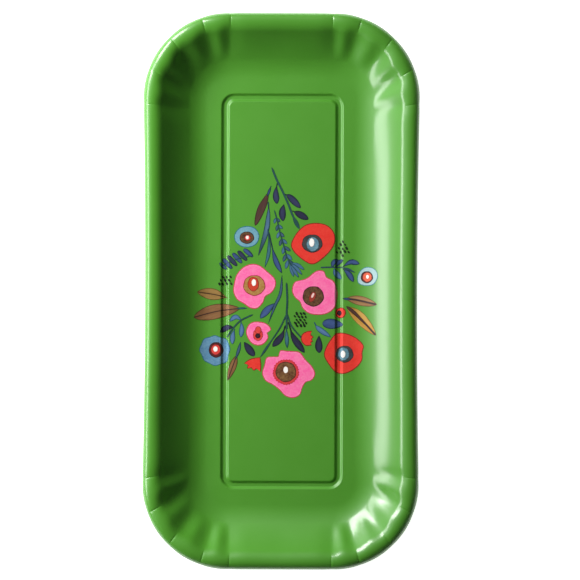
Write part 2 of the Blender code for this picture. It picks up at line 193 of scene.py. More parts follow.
# How far a pleat stands off the plain side, along the side's normal.
def pleatLift(station, inset):
    kind, value, lobe, gap = station
    if inset > pleats["reach"]:
        return 0
    at = stationPoint(station, inset)
    onFan = kind == "fan" and value >= math.radians(pleats["valleys"][0])
    if onFan:
        sharp = 1 - smoothStep(pleats["sharpTo"], pleats["softFrom"], inset)
        soft = math.sin(math.pi / 2 * (1 - math.sqrt(max(1 - lobe, 0)))) ** 2
        swell = lobe * sharp + soft * (1 - sharp)
        span = gap * (at - fanPoint).length
        hollow = 1 - lobe
    else:
        creases = (cornerPoint(inset, math.radians(pleats["valleys"][end])) for end in (0, -1))
        span = min((at - crease).length for crease in creases)
        swell = pleats["shoulder"] * (1 - math.exp(-(span / pleats["shoulderRise"]) ** 2))
        swell *= math.exp(-(span / pleats["shoulderFall"]) ** 2)
        hollow = math.exp(-(span / pleats["hollowWidth"]) ** 2)
    lift = pleats["height"] * swell * math.sin(math.pi * max(inset, 0) / pleats["reach"])
    lift -= pleats["scallop"] * hollow * (
        1 - smoothStep(pleats["scallopFrom"], pleats["scallopReach"], inset)
    )
    fade = smoothStep(*pleats["creaseStart"], inset)
    fade *= 1 - smoothStep(pleats["creaseReach"] * 0.5, pleats["creaseReach"], inset)
    return lift - pleats["creaseDepth"] * math.exp(-(span / pleats["creaseWidth"]) ** 2) * fade


# One closed ring of the side, on its inner face or some way below it.
def ringPoints(stations, inset, height, slope, below):
    quarter = []
    for station in stations:
        out = pleatLift(station, inset) - below
        at = stationPoint(station, inset + out * math.sin(slope))
        quarter.append(Vector((at.x, at.y, height + out * math.cos(slope))))
    half = quarter + [Vector((-p.x, p.y, p.z)) for p in reversed(quarter[:-1])]
    return half + [Vector((-p.x, -p.y, p.z)) for p in half[1:-1]]


def startLoop(bm, points, station):
    verts = []
    for index, point in enumerate(points):
        vert = bm.verts.new(point * mm)
        vert[station] = index
        verts.append(vert)
    return [bm.edges.new(pair) for pair in zip(verts, verts[1:] + verts[:1])]


# Extrudes the open ring of edges and moves the new ring to the points.
def growRing(bm, edges, points, station):
    grown = bmesh.ops.extrude_edge_only(bm, edges=edges)["geom"]
    fresh = {item for item in grown if isinstance(item, bmesh.types.BMVert)}
    for vert in fresh:
        vert.co = points[vert[station]] * mm
    return [item for item in grown
            if isinstance(item, bmesh.types.BMEdge) and all(v in fresh for v in item.verts)]


# A rounded rectangle this far outside the groove's middle line.
def grooveRing(offset, height):
    radius = groove["corner"] + offset
    halves = Vector((groove["halfWidth"] + offset, groove["halfLength"] + offset))
    points = []
    for turn in range(4):
        sides = Vector((1 if turn in (0, 3) else -1, 1 if turn in (0, 1) else -1))
        centre = Vector((sides.x * (halves.x - radius), sides.y * (halves.y - radius)))
        for step in range(groove["cornerSteps"] + 1):
            angle = math.pi / 2 * (turn + step / groove["cornerSteps"])
            points.append(Vector((
                groove["shift"] + centre.x + radius * math.cos(angle),
                centre.y + radius * math.sin(angle), height
            )))
    return points


# How deep the groove is at this distance from its middle line.
def grooveDepth(offset):
    return groove["depth"] * (1 - smoothStep(groove["floorHalf"], grooveEdge, abs(offset)))


print("sections ready, foot at", round(tray["halfWidth"] - footInset, 2))


# A piece's name as the part spells it: brownLeafTop is brown_leaf_top.
def partName(name):
    return "".join("_" + letter.lower() if letter.isupper() else letter for letter in name)


def newObject(name, bm, materials, node):
    mesh = bpy.data.meshes.new(name)
    bm.to_mesh(mesh)
    bm.free()
    for material in materials:
        mesh.materials.append(material)
    made = bpy.data.objects.new(name, mesh)
    bpy.context.scene.collection.objects.link(made)
    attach(made, "root")
    if node:
        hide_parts(node)
    return made


def buildTray(melamine):
    bm = bmesh.new()
    station = bm.verts.layers.int.new("station")
    stations = quarterStations()
    section = sideSection()
    thick = tray["wall"]
    footEdge = footInset + tray["footMargin"]
    rings = [ringPoints(stations, footEdge, tray["floorTop"], 0, 0)]
    rings += [ringPoints(stations, *point, 0) for point in reversed(section)]
    inset, height, slope = section[0]
    for step in range(1, tray["lipSteps"]):  # the lip's edge is a half round
        turn = math.pi * step / tray["lipSteps"]
        bulge = thick / 2 * math.sin(turn)
        rings.append(ringPoints(
            stations, inset - bulge * math.cos(slope), height + bulge * math.sin(slope),
            slope, thick / 2 * (1 - math.cos(turn))
        ))
    rings += [ringPoints(stations, *point, thick) for point in section]
    rings.append(ringPoints(stations, footEdge, tray["floorTop"] - thick, 0, 0))
    upper = startLoop(bm, rings[0], station)
    lower = upper
    for ring in rings[1:]:
        lower = growRing(bm, lower, ring, station)
    for foot, level, below in ((upper, tray["floorTop"], 0),
                               (lower, tray["floorTop"] - thick, thick)):
        spread = below * groove["underSpread"]
        rim = grooveEdge + spread + groove["margin"]
        offsets = [rim, *reversed(grooveOffsets), -rim]
        ring = [grooveRing(offsets[0], level)]
        for offset in offsets[1:-1]:
            wider = offset * (1 + spread / grooveEdge) if below else offset
            ring.append(grooveRing(wider, level - grooveDepth(offset)))
        ring.append(grooveRing(offsets[-1], level))
        outer = startLoop(bm, ring[0], station)
        inner = outer
        for points in ring[1:]:
            inner = growRing(bm, inner, points, station)
        bmesh.ops.triangle_fill(bm, edges=foot + outer, use_beauty=True)
        bmesh.ops.contextual_create(bm, geom=inner)
    bmesh.ops.recalc_face_normals(bm, faces=bm.faces)
    for face in bm.faces:
        face.smooth = True
    print("tray mesh", len(bm.faces), "faces")
    return newObject("trayMoulding", bm, [melamine], "tray_body")


# Materials.

def linear(value):
    value /= 255
    return value / 12.92 if value <= 0.04045 else ((value + 0.055) / 1.055) ** 2.4


def colour(red, green, blue):
    return (linear(red), linear(green), linear(blue), 1)


def link(tree, source, output, target, socket):
    tree.links.new(source.outputs[output], target.inputs[socket])


# A node with its settings. A socket takes a number, a colour or another node's output.
def addNode(tree, kind, sockets, **settings):
    made = tree.nodes.new("ShaderNode" + kind)
    for setting, value in settings.items():
        setattr(made, setting, value)
    for socket, value in sockets.items():
        if isinstance(value, tuple) and isinstance(value[0], bpy.types.Node):
            link(tree, *value, made, socket)
        else:
            made.inputs[socket].default_value = value
    return made


def addMath(tree, operation, *values, clamp=False):
    return addNode(tree, "Math", dict(enumerate(values)), operation=operation, use_clamp=clamp)


# Rises smoothly from 0 to 1 between the two ends of the span.
def addRise(tree, value, span):
    return addNode(tree, "MapRange", {"Value": value, "From Min": span[0], "From Max": span[1]},
                   interpolation_type="SMOOTHSTEP")


def mixColours(tree, share, first, second):
    return addNode(tree, "Mix", {0: share, 6: first, 7: second}, data_type="RGBA")


# Brush strokes and a darker drawn edge for a film of paint.
def brushGroup():
    look = {
        "fine": (1.3, 3), "broad": (0.35, 2),  # scale and detail of the two noises
        "strokeSpan": (0.75, 1.25), "middleSpan": (0.4, 1.7),
        "wobble": 0.5, "wobbleMiddle": 0.25,  # how far the drawn line wanders
        "lineSpan": (-0.08, 0.12), "ribSpan": (-0.15, 0.15),
        "shadeSpans": (("Root Shade", (0.45, 0.1)), ("Tip Shade", (0.55, 0.95))),
    }
    group = bpy.data.node_groups.new("brushedPaint", "ShaderNodeTree")
    for name, default in (
        ("Body", (0.5, 0.5, 0.5, 1)), ("Light", (0.7, 0.7, 0.7, 1)), ("Line", (0.1, 0.1, 0.1, 1)),
        ("Line Width", 0.25), ("Stroke Amount", 0.5), ("Rib", (0.1, 0.1, 0.1, 1)),
        ("Rib Width", 0.0), ("Edge Light", 0.0), ("Middle Light", 0.0), ("Root Shade", 0.0),
        ("Tip Shade", 0.0),
    ):
        kind = "NodeSocketColor" if isinstance(default, tuple) else "NodeSocketFloat"
        made = group.interface.new_socket(name, in_out="INPUT", socket_type=kind)
        made.default_value = default
    group.interface.new_socket("Color", in_out="OUTPUT", socket_type="NodeSocketColor")
    group.interface.new_socket("Height", in_out="OUTPUT", socket_type="NodeSocketFloat")
    given = group.nodes.new("NodeGroupInput")
    result = group.nodes.new("NodeGroupOutput")
    strokes, edge, rib, length = [
        addNode(group, "Attribute", {}, attribute_name=name)
        for name in ("strokes", "fromEdge", "fromMid", "along")
    ]
    fine, broad = [
        addNode(group, "TexNoise", {"Vector": (strokes, "Vector"),
                "Scale": scale, "Detail": detail})
        for scale, detail in (look["fine"], look["broad"])
    ]
    both = addMath(group, "ADD", (fine, 0), (broad, 0))
    spread = addNode(group, "MapRange", {
        "Value": (both, 0), "From Min": look["strokeSpan"][0], "From Max": look["strokeSpan"][1]
    })
    inward = addRise(group, (edge, "Fac"), look["middleSpan"])
    base = addNode(group, "Mix", {
        0: (inward, "Result"), 2: (given, "Edge Light"), 3: (given, "Middle Light")
    })
    amount = addMath(group, "MULTIPLY_ADD", (spread, "Result"), (given, "Stroke Amount"),
                     (base, 0), clamp=True)
    lighter = mixColours(group, (amount, 0), (given, "Body"), (given, "Light"))
    wobble = addMath(group, "MULTIPLY_ADD", (fine, 0), look["wobble"], (edge, "Fac"))
    limit = addMath(group, "ADD", (given, "Line Width"), look["wobbleMiddle"])
    past = addMath(group, "SUBTRACT", (wobble, 0), (limit, 0))
    mask = addRise(group, (past, 0), look["lineSpan"])
    beyond = addMath(group, "SUBTRACT", (rib, "Fac"), (given, "Rib Width"))
    away = addRise(group, (beyond, 0), look["ribSpan"])
    shades = []
    for end, span in look["shadeSpans"]:
        near = addRise(group, (length, "Fac"), span)
        shades.append(addMath(group, "MULTIPLY", (near, "Result"), (given, end)))
    ends = addMath(group, "ADD", (shades[0], 0), (shades[1], 0), clamp=True)
    shaded = mixColours(group, (ends, 0), (lighter, 2), (given, "Line"))
    ribbed = mixColours(group, (away, "Result"), (given, "Rib"), (shaded, 2))
    drawn = mixColours(group, (mask, "Result"), (given, "Line"), (ribbed, 2))
    link(group, drawn, 2, result, "Color")
    link(group, fine, 0, result, "Height")
    return group


brushedPaint = brushGroup()
paintSurface = {"roughness": 0.5, "shine": 0.3, "bump": 0.15, "bumpHeight": 0.00004}


def newMaterial(name):
    made = bpy.data.materials.new(name)
    made.use_nodes = True
    return made, made.node_tree, made.node_tree.nodes["Principled BSDF"]


def addBump(tree, shader, height, strength, distance):
    bump = addNode(tree, "Bump", {"Strength": strength, "Distance": distance, "Height": height})
    link(tree, bump, "Normal", shader, "Normal")


# One finish. The look gives the body's colour, lighter strokes, the drawn line and the rest.
def paint(name, look):
    made, tree, shader = newMaterial(name)
    shader.inputs["Roughness"].default_value = paintSurface["roughness"]
    shader.inputs["Specular IOR Level"].default_value = paintSurface["shine"]
    brushed = tree.nodes.new("ShaderNodeGroup")
    brushed.node_tree = brushedPaint
    for socket in ("Body", "Light", "Line"):
        brushed.inputs[socket].default_value = colour(*look[socket.lower()])
    brushed.inputs["Rib"].default_value = colour(*look.get("rib", look["line"]))
    for socket, key, usual in (
        ("Line Width", "lineWidth", 0.42), ("Stroke Amount", "strokes", 0.5),
        ("Rib Width", "ribWidth", -1), ("Edge Light", "edge", 0), ("Middle Light", "middle", 0),
        ("Root Shade", "root", 0), ("Tip Shade", "tip", 0),
    ):
        brushed.inputs[socket].default_value = look.get(key, usual)
    link(tree, brushed, "Color", shader, "Base Color")
    addBump(tree, shader, (brushed, "Height"), paintSurface["bump"], paintSurface["bumpHeight"])
    return made


def melamineMaterial():
    look = {
        "green": (77, 149, 36), "deep": (72, 145, 30), "cloudScale": 60,
        "roughness": 0.5, "roughnessSpread": 0.03, "shine": 0.6,
        "coat": 0.9, "coatRoughness": 0.19,
        "grainScale": 900, "bump": 0.12, "bumpHeight": 0.00005,
    }
    made, tree, shader = newMaterial("greenMelamine")
    place = tree.nodes.new("ShaderNodeTexCoord")
    cloud, grain = [
        addNode(tree, "TexNoise", {"Vector": (place, "Object"), "Scale": scale, "Detail": detail})
        for scale, detail in ((look["cloudScale"], 4), (look["grainScale"], 3))
    ]
    tint = mixColours(tree, (cloud, 0), colour(*look["deep"]), colour(*look["green"]))
    link(tree, tint, 2, shader, "Base Color")
    shader.inputs["Specular IOR Level"].default_value = look["shine"]
    shader.inputs["Coat Weight"].default_value = look["coat"]
    shader.inputs["Coat Roughness"].default_value = look["coatRoughness"]
    rough = addNode(tree, "MapRange", {
        "Value": (cloud, 0), "To Min": look["roughness"] - look["roughnessSpread"],
        "To Max": look["roughness"] + look["roughnessSpread"]
    })
    link(tree, rough, "Result", shader, "Roughness")
    addBump(tree, shader, (grain, 0), look["bump"], look["bumpHeight"])
    return made


melamine = melamineMaterial()
buildTray(melamine)
print("tray built")


# Paint: films that lie on the tray's face.

filmLook = {
    "thickness": 0.05, "lift": 0.02, "layerStep": 0.012, "coatStep": 0.07,
    "edgeRings": (0.18, 0.4, 0.9, 1.8, 3.2, 5, 7.2, 9.6, 12), "ringReach": 0.8,
    "leafAcross": 8, "leafSteps": 40, "leastHalf": 0.04,
    "edgeGather": 1.3,  # draws a leaf's rows of faces towards its edges
    "blotches": 0.7, "streaks": 0.15,  # scale of the strokes in a petal and along a leaf
    "noRib": 99, "sharpAngle": 40, "foldSteps": 20,
}


# Height of the tray's face near its middle: floor, groove or the long side.
def faceHeight(x, y):
    inset = tray["halfWidth"] - waist(y) - abs(x)
    if inset < footInset:
        for start, drop, radius, low, high in reversed(sideArcs):
            if inset >= start:
                break
        slope = math.asin(math.sin(low) + (inset - start) / radius)
        return (tray["floorTop"] + sideDrop - drop
                - radius * (math.cos(low) - math.cos(slope)))
    beside = abs(x - groove["shift"]) - groove["halfWidth"]
    if abs(y) < groove["halfLength"] - groove["corner"] and abs(beside) < grooveEdge:
        return tray["floorTop"] - grooveDepth(beside)
    return tray["floorTop"]


# Where a film between these two places across the tray folds with its face.
def foldPlaces(low, high):
    places = [groove["shift"] + side * (groove["halfWidth"] + offset)
              for side in (-1, 1) for offset in grooveOffsets]
    foot = tray["halfWidth"] - footInset - tray["waistBow"]
    places += [side * (foot + step)
               for side in (-1, 1) for step in range(filmLook["foldSteps"])]
    return [place for place in places if low < place < high]


# Gathers flat shells of paint, then lays them all on the tray's face.
class Film:
    def __init__(self):
        self.bm = bmesh.new()
        self.fromEdge = self.bm.verts.layers.float.new("fromEdge")
        self.fromMid = self.bm.verts.layers.float.new("fromMid")
        self.along = self.bm.verts.layers.float.new("along")
        self.strokes = self.bm.verts.layers.float_vector.new("strokes")
        self.lift = self.bm.verts.layers.float.new("lift")
        self.materials = []

    def index(self, material):
        if material not in self.materials:
            self.materials.append(material)
        return self.materials.index(material)

    # A closed outline, filled with rings that keep their distance from its edge.
    def addBlob(self, outline, material, coat=0):
        centre = sum(outline, Vector((0, 0))) / len(outline)
        station = self.bm.verts.layers.int.get("station") or \
            self.bm.verts.layers.int.new("station")
        before = set(self.bm.verts)
        shortest = min((point - centre).length for point in outline)
        loop = startLoop(self.bm, [p.to_3d() for p in outline], station)
        for depth in filmLook["edgeRings"]:
            if depth < filmLook["ringReach"] * shortest:
                share = depth / shortest
                ring = [(centre + (p - centre) * (1 - share)).to_3d() for p in outline]
                loop = growRing(self.bm, loop, ring, station)
        bmesh.ops.contextual_create(self.bm, geom=loop)
        made = [vert for vert in self.bm.verts if vert not in before]
        for vert in made:
            arm = vert.co.xy / mm - centre
            whole = (outline[vert[station]] - centre).length
            vert[self.fromEdge] = whole - arm.length
            vert[self.fromMid] = filmLook["noRib"]
            vert[self.along] = 0.5
            spot = (centre + arm) * filmLook["blotches"]
            vert[self.strokes] = (spot.x, spot.y, 0)
        self.finishShell(made, material, coat * filmLook["coatStep"])

    # A leaf or a stem: a ribbon along a path, thin for its stem and then swelling.
    def addStroke(self, path, material, width, stemShare=0, stemWidth=0.6, fullest=0.5,
                  layer=0, power=0.8):
        middle = alongCurve([Vector(point) for point in path], filmLook["leafSteps"])
        steps = len(middle) - 1
        before = set(self.bm.verts)
        across = filmLook["leafAcross"]
        bmesh.ops.create_grid(self.bm, x_segments=steps, y_segments=across, size=1)
        made = [vert for vert in self.bm.verts if vert not in before]
        length = sum((b - a).length for a, b in zip(middle, middle[1:]))
        skew = math.log(0.5) / math.log(fullest)
        for vert in made:
            share = (vert.co.x + 1) / 2
            side = vert.co.y
            step = round(share * steps)
            run = middle[min(step + 1, steps)] - middle[max(step - 1, 0)]
            left = Vector((-run.y, run.x)).normalized()
            half = stemWidth / 2 * min(1, share * steps / 2 + 0.2)
            if share > stemShare:
                swell = (share - stemShare) / (1 - stemShare)
                body = width / 2 * math.sin(math.pi * swell ** skew) ** power
                half = max(half * (1 - swell), body)
            half = max(half, filmLook["leastHalf"])
            side = math.copysign(1 - (1 - abs(side)) ** filmLook["edgeGather"], side)
            vert.co = ((middle[step] + left * side * half) * mm).to_3d()
            vert[self.fromEdge] = half * (1 - abs(side))
            vert[self.fromMid] = half * abs(side)
            vert[self.along] = share
            vert[self.strokes] = (
                half * side, share * length * filmLook["streaks"], path[0][0]
            )
        self.finishShell(made, material, layer * filmLook["layerStep"])

    def finishShell(self, verts, material, lift):
        slot = self.index(material)
        for vert in verts:
            vert[self.lift] = filmLook["lift"] + lift
            for face in vert.link_faces:
                face.material_index = slot

    def build(self, name, replaces=True):
        bm = self.bm
        low = min(vert.co.x for vert in bm.verts) / mm
        high = max(vert.co.x for vert in bm.verts) / mm
        for place in foldPlaces(low, high):
            bmesh.ops.bisect_plane(
                bm, geom=bm.verts[:] + bm.edges[:] + bm.faces[:], dist=1e-7,
                plane_co=(place * mm, 0, 0), plane_no=(1, 0, 0)
            )
        for vert in bm.verts:
            x, y = vert.co.xy / mm
            vert.co.z = (faceHeight(x, y) + vert[self.lift]) * mm
        raised = bmesh.ops.extrude_face_region(bm, geom=bm.faces[:])["geom"]
        bmesh.ops.translate(
            bm, vec=(0, 0, filmLook["thickness"] * mm),
            verts=[item for item in raised if isinstance(item, bmesh.types.BMVert)]
        )
        bmesh.ops.recalc_face_normals(bm, faces=bm.faces)
        for face in bm.faces:
            face.smooth = True
        made = newObject(name, bm, self.materials, partName(name) if replaces else None)
        made.data.set_sharp_from_angle(angle=math.radians(filmLook["sharpAngle"]))


# A point of the smooth curve that passes through start and end.
def throughPoint(before, start, end, after, share):
    square, cube = share ** 2, share ** 3
    return (start * (2 * cube - 3 * square + 1) + end * (3 * square - 2 * cube)
            + (end - before) * 0.5 * (cube - 2 * square + share)
            + (after - start) * 0.5 * (cube - square))


def alongCurve(points, steps):
    if len(points) == 2:
        return [points[0].lerp(points[1], step / steps) for step in range(steps + 1)]
    ends = [points[0] * 2 - points[1], *points, points[-1] * 2 - points[-2]]
    spans = len(points) - 1
    made = []
    for step in range(steps + 1):
        at = min(step * spans / steps, spans - 1e-9)
        span = int(at)
        made.append(throughPoint(*ends[span:span + 4], at - span))
    return made


# A smooth closed outline through the points. A point given twice is a notch.
def closedCurve(points, steps):
    points = [Vector(point) for point in points]
    made = []
    for index, start in enumerate(points):
        end = points[(index + 1) % len(points)]
        if (end - start).length < 1e-6:
            continue
        before = points[index - 1]
        after = points[(index + 2) % len(points)]
        made += [throughPoint(before, start, end, after, step / steps) for step in range(steps)]
    return made


# An ellipse. Each wave has its number round, its height and where it starts.
def oval(centre, size, steps, turned=0, waves=()):
    turn = math.radians(turned)
    made = []
    for step in range(steps):
        angle = math.tau * step / steps
        reach = 1 + sum(height * math.cos(count * angle + start) for count, height, start in waves)
        x = size[0] / 2 * math.cos(angle) * reach
        y = size[1] / 2 * math.sin(angle) * reach
        made.append(Vector((
            centre[0] + x * math.cos(turn) - y * math.sin(turn),
            centre[1] + x * math.sin(turn) + y * math.cos(turn)
        )))
    return made


paints = {
    "redPetal": {"body": (222, 48, 40), "light": (234, 76, 60), "line": (120, 32, 22),
                 "strokes": 0.4, "lineWidth": 0.55},
    "pinkPetal": {"body": (248, 96, 162), "light": (255, 176, 200), "line": (196, 44, 80),
                  "strokes": 0.3, "edge": 0.3, "lineWidth": 0.5},
    "skyPetal": {"body": (96, 148, 168), "light": (130, 176, 188), "line": (32, 100, 118),
                 "strokes": 0.6},
    "palePetal": {"body": (150, 184, 188), "light": (178, 204, 204), "line": (48, 124, 128)},
    "duskPetal": {"body": (84, 130, 164), "light": (116, 160, 182), "line": (34, 92, 116),
                  "strokes": 0.7},
    "charcoalEye": {"body": (52, 52, 52), "light": (84, 84, 84), "line": (26, 28, 32),
                    "lineWidth": 0.3},
    "steelEye": {"body": (78, 116, 134), "light": (120, 162, 176), "line": (56, 74, 84),
                 "strokes": 0.8, "lineWidth": 0.3},
    "oliveEye": {"body": (158, 110, 54), "light": (184, 144, 84), "line": (140, 50, 40),
                 "strokes": 0.8},
    "rustEye": {"body": (190, 50, 36), "light": (216, 84, 56), "line": (138, 38, 28)},
    "umberEye": {"body": (70, 38, 26), "light": (118, 86, 54), "line": (46, 26, 18),
                 "strokes": 0.8},
    "umberStreak": {"body": (146, 46, 36), "light": (172, 74, 58), "line": (104, 30, 22),
                    "lineWidth": 0.2},
    "barkEye": {"body": (84, 46, 28), "light": (140, 104, 62), "line": (66, 38, 24),
                "strokes": 0.8},
    "roseRing": {"body": (204, 48, 56), "light": (226, 84, 80), "line": (190, 40, 50)},
    "maroonEye": {"body": (74, 26, 28), "light": (112, 44, 42), "line": (44, 18, 18)},
    "crimsonEye": {"body": (206, 52, 50), "light": (230, 90, 78), "line": (130, 32, 32),
                   "lineWidth": 0.25},
    "coralEye": {"body": (214, 86, 58), "light": (234, 118, 86), "line": (120, 44, 30),
                 "lineWidth": 0.25},
    "plumEye": {"body": (44, 20, 30), "light": (74, 38, 46), "line": (22, 10, 16)},
    "glint": {"body": (250, 246, 238), "light": (255, 255, 255), "line": (226, 206, 196),
              "lineWidth": 0.2},
    "pinkGlint": {"body": (236, 196, 190), "light": (250, 226, 220), "line": (190, 120, 110),
                  "lineWidth": 0.15},
    "seedBlack": {"body": (14, 32, 18), "light": (22, 42, 24), "line": (10, 24, 12)},
    "navyLeaf": {"body": (30, 34, 54), "light": (58, 64, 100), "line": (20, 34, 42),
                 "middle": 0.3},
    "plumLeaf": {"body": (28, 30, 46), "light": (50, 52, 82), "line": (16, 26, 34),
                 "middle": 0.3},
    "indigoLeaf": {"body": (38, 60, 100), "light": (70, 94, 146), "line": (22, 44, 58),
                   "middle": 0.3},
    "duskLeaf": {"body": (46, 74, 98), "light": (76, 108, 134), "line": (26, 58, 62),
                 "middle": 0.3},
    "steelLeaf": {"body": (58, 96, 128), "light": (88, 128, 158), "line": (30, 70, 78),
                  "middle": 0.3, "lineWidth": 0.3},
    "shadedLeaf": {"body": (60, 92, 120), "light": (88, 122, 148), "line": (26, 52, 58),
                   "middle": 0.3, "tip": 0.8},
    "tealLeaf": {"body": (46, 92, 104), "light": (78, 128, 140), "line": (24, 68, 66),
                 "middle": 0.3},
    "brightLeaf": {"body": (70, 104, 146), "light": (98, 134, 172), "line": (34, 74, 96),
                   "middle": 0.3},
    "darkStem": {"body": (30, 70, 68), "light": (42, 84, 80), "line": (22, 52, 46),
                 "lineWidth": 0.1},
    "inkStem": {"body": (34, 62, 76), "light": (52, 82, 98), "line": (22, 46, 52),
                "lineWidth": 0.1},
    "barkLeaf": {"body": (72, 46, 40), "light": (92, 66, 56), "line": (46, 28, 22)},
    "brownLeaf": {"body": (124, 84, 52), "light": (154, 116, 74), "line": (72, 44, 26),
                  "rib": (62, 42, 34), "ribWidth": 0.35, "root": 0.5},
    "tanLeaf": {"body": (140, 106, 54), "light": (168, 136, 80), "line": (88, 58, 26),
                "rib": (66, 46, 26), "ribWidth": 0.35},
    "ochreLeaf": {"body": (176, 124, 40), "light": (212, 176, 100), "line": (104, 74, 28),
                  "rib": (50, 38, 34), "ribWidth": 0.6, "root": 0.3, "lineWidth": 0.3},
    "strawLeaf": {"body": (140, 100, 62), "light": (176, 142, 96), "line": (96, 64, 40),
                  "rib": (62, 46, 44), "ribWidth": 0.6, "root": 0.5},
}
finishes = {name: paint(name, look) for name, look in paints.items()}

flowers = {
    "redFlowerUpper": {
        "slot": "red_paint", "petal": "redPetal",
        "outline": ((16.6, 43.1), (23.5, 43.9), (29.8, 42.2), (34, 37.4), (34.3, 31), (30.8, 25),
                    (24.4, 19.2), (19.6, 17.3), (14.4, 19.6), (8.4, 24.8), (6.2, 29.6), (8.2, 35),
                    (12, 40)),
        "eyeSlot": "grey_paint",
        "eye": (("charcoalEye", (19.8, 30.7), (13.2, 11.6)), ("steelEye", (20.2, 30.2), (8.2, 9.4)),
                ("glint", (19.5, 31.3), (3.4, 5.4))),
    },
    "redFlowerLower": {
        "slot": "red_paint", "petal": "redPetal",
        "outline": ((36, -26.7), (42.4, -27), (49, -30.2), (53, -34.6), (52.3, -39), (52, -44.4),
                    (47.6, -49.6), (41, -52.8), (35.2, -52), (30.4, -46.6), (27.6, -41),
                    (29, -35.4),
                    (32.6, -29.8)),
        "eyeSlot": "grey_paint",
        "eye": (("charcoalEye", (40.8, -40.2), (11.3, 10.8)), ("steelEye", (40.2, -40.1),
                (7.4, 8.6)),
                ("glint", (39.9, -40.3), (3, 4.6))),
    },
    "redFlowerSmall": {
        "slot": "red_paint", "petal": "redPetal",
        "outline": ((38.4, -10.3), (41, -11.6), (41.5, -14.4), (39.8, -16.8), (36.8, -17),
                    (35, -14.8),
                    (35.4, -11.8)),
        "eyeSlot": "umber_paint",
        "eye": (("plumEye", (37.4, -13.9), (3, 3.4)),),
    },
    "pinkFlowerLeft": {
        "slot": "pink_paint", "petal": "pinkPetal",
        "outline": ((-19.4, 17.4), (-14, 16.6), (-8.8, 12.6), (-4.2, 8.2), (-3.5, 3.8), (-6, -0.8),
                    (-10, -3.4), (-11.8, -7.6), (-15.4, -11), (-19.6, -10.9), (-23.8, -8.2),
                    (-28.4, -5.2), (-30.6, -0.4), (-30.2, 4.8), (-28.6, 10.4), (-24.8, 15)),
        "eyeSlot": "ochre_paint",
        "eye": (("oliveEye", (-17.3, 3.7), (14.1, 13.2)), ("rustEye", (-17.9, 4.5), (7.2, 9.2)),
                ("glint", (-17.5, 5.5), (2.9, 4.4))),
    },
    "pinkFlowerRight": {
        "slot": "pink_paint", "petal": "pinkPetal",
        "outline": ((22.6, 13.1), (27.2, 13), (29.2, 9.2), (33.4, 6.8), (35.6, 2.4),
                    (36.1, -3), (34.6, -9.8), (30.4, -13.8), (24.2, -15.1), (18, -14.2),
                    (13.8, -10.8),
                    (12, -6.8), (8.6, -3.6), (7, 0.6), (8.6, 5.8), (13.6, 7.4), (17.2, 9)),
        "eyeSlot": "umber_paint",
        "eye": (("umberEye", (20.6, -3.2), (13.6, 13)), ("umberStreak", (20.1, -3.6), (3.8, 7),
                -24),
                ("pinkGlint", (20.3, -2.6), (1.6, 3.6), -24)),
    },
    "pinkFlowerBottom": {
        "slot": "pink_paint", "petal": "pinkPetal",
        "outline": ((-0.4, -38), (3.8, -38.2), (8, -38.4), (12.2, -39.2), (16.2, -44.2),
                    (20.2, -48.4),
                    (22, -53), (20, -56.8), (16, -58.4), (13.8, -62), (12.2, -66.4), (8, -68.4),
                    (3, -67.2), (-0.8, -63.4), (-5.2, -60), (-9.8, -57.4), (-12, -52.6),
                    (-10.6, -47.2),
                    (-9.2, -42.6), (-5, -41.9), (-1.8, -41.6)),
        "eyeSlot": "brown_paint",
        "eye": (("roseRing", (3.2, -51.8), (16.6, 16.2)), ("barkEye", (3.2, -51.7), (13.2, 13)),
                ("glint", (3.1, -50.4), (3, 4.3))),
        "fringe": 0.03,
    },
    "pinkFlowerSmall": {
        "slot": "pink_paint", "petal": "pinkPetal",
        "outline": ((-15.6, -19.5), (-9.8, -20.6), (-6.3, -24.2), (-8.9, -26.7), (-8.9, -26.7),
                    (-8.2, -30), (-11.2, -33.9), (-15.4, -34.8), (-19.4, -32.8), (-22, -28.4),
                    (-22.2, -24.6), (-20, -20.8)),
        "eyeSlot": "red_paint",
        "eye": (("crimsonEye", (-14.8, -28), (6.4, 7.8)), ("crimsonEye", (-14.7, -25), (4, 5)),
                ("plumEye", (-14.9, -28.6), (3.2, 3.2))),
    },
    "blueFlowerUpper": {
        "slot": "sky_paint", "petal": "skyPetal",
        "outline": ((-22.6, 41.7), (-17.2, 40.6), (-14.2, 36.2), (-15.4, 31), (-19.8, 28.3),
                    (-25.2, 28.5), (-29.2, 31.4), (-30.1, 35.8), (-27.4, 40)),
        "eyeSlot": "umber_paint",
        "eye": (("umberEye", (-22.1, 34.3), (9.3, 7.8)), ("crimsonEye", (-21.6, 34.2), (4, 3.8)),
                ("glint", (-21.8, 34.4), (2, 2.4))),
    },
    "blueFlowerRight": {
        "slot": "sky_paint", "petal": "palePetal",
        "outline": ((55.4, 15.8), (60.4, 14), (61.9, 9.4), (59.2, 4.6), (54, 3.6), (49.6, 5.2),
                    (48.9, 9.4), (51.2, 13.8)),
        "eyeSlot": "red_paint",
        "eye": (("maroonEye", (54.9, 9.2), (7.8, 7.7)), ("coralEye", (55.2, 9.2), (6, 6.2)),
                ("glint", (55.3, 9.4), (1.9, 2.5))),
    },
    "blueFlowerLower": {
        "slot": "sky_paint", "petal": "duskPetal",
        "outline": ((-42, -28.7), (-37, -30), (-33.3, -33.4), (-33, -39.2), (-34.8, -45),
                    (-39.8, -47.5), (-46, -46.8), (-50.4, -42.6), (-52.1, -37.6), (-50.6, -32.4),
                    (-46.6, -29.4)),
        "eyeSlot": "red_paint",
        "eye": (("maroonEye", (-41.6, -37.7), (9.4, 10)), ("crimsonEye", (-41.8, -37.6),
                (6.2, 6.8)),
                ("glint", (-42, -37.2), (2.9, 3.5))),
        "bumps": (8, 0.035),
    },
}
